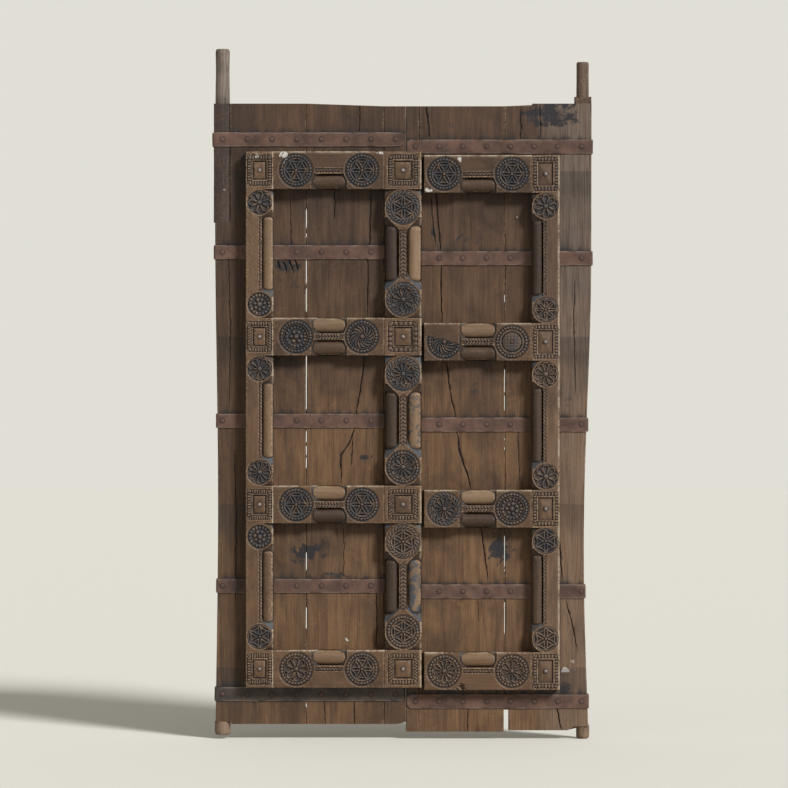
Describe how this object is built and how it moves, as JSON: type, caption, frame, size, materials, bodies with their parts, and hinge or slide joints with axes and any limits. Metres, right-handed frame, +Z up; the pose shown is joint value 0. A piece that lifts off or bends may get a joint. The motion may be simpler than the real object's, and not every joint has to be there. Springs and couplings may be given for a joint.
{
  "type": "carved temple door",
  "caption": "Pair of old plank door leaves on wooden pintles, with iron straps and a nailed-on grid of carved stiles and rails; the right leaf swings behind the centre stile.",
  "frame": {"origin": "foot of the left leaf's lower pintle, on its axis", "axes": "+Z up along the pintles, +X to the right leaf as seen from the carved face, +Y from the carved face to the back"},
  "size_m": [1.1448, 0.104, 2.075],
  "materials": {
    "plank_wood": "weathered, oiled dark brown boards, open grain and cracks",
    "carved_wood": "worn brown carving, near black in the recesses, pale on the arrises",
    "forged_iron": "hand-forged iron with a matt reddish brown patina"
  },
  "bodies": {
    "left_leaf": {"left_outer_plank": "plank_wood", "left_middle_plank": "plank_wood", "left_inner_plank": "plank_wood", "left_upper_pivot_post": "plank_wood", "left_rail_top": "carved_wood", "left_rail_upper": "carved_wood", "left_rail_lower": "carved_wood", "left_rail_bottom": "carved_wood", "left_outer_stile": "carved_wood", "centre_stile": "carved_wood", "left_strap_top": "forged_iron", "left_strap_upper": "forged_iron", "left_strap_middle": "forged_iron", "left_strap_lower": "forged_iron", "left_strap_bottom": "forged_iron", "left_strap_nails": "forged_iron", "left_square_nails": "forged_iron", "left_rosette_nails": "forged_iron", "left_plank_dowels": "plank_wood"},
    "right_leaf": {"right_inner_plank": "plank_wood", "right_middle_plank": "plank_wood", "right_outer_plank": "plank_wood", "right_rail_top": "carved_wood", "right_rail_upper": "carved_wood", "right_rail_lower": "carved_wood", "right_rail_bottom": "carved_wood", "right_outer_stile": "carved_wood", "right_strap_top": "forged_iron", "right_strap_upper": "forged_iron", "right_strap_middle": "forged_iron", "right_strap_lower": "forged_iron", "right_strap_bottom": "forged_iron", "right_strap_nails": "forged_iron", "right_square_nails": "forged_iron", "right_rosette_nails": "forged_iron", "right_plank_dowels": "plank_wood"}
  },
  "joints": [
    {"name": "right_leaf_swing", "type": "hinge", "parent": "left_leaf", "child": "right_leaf", "pos_m": [1.084, 0, 0], "axis": [0, 0, -1], "range_deg": [0, 100]}
  ]
}
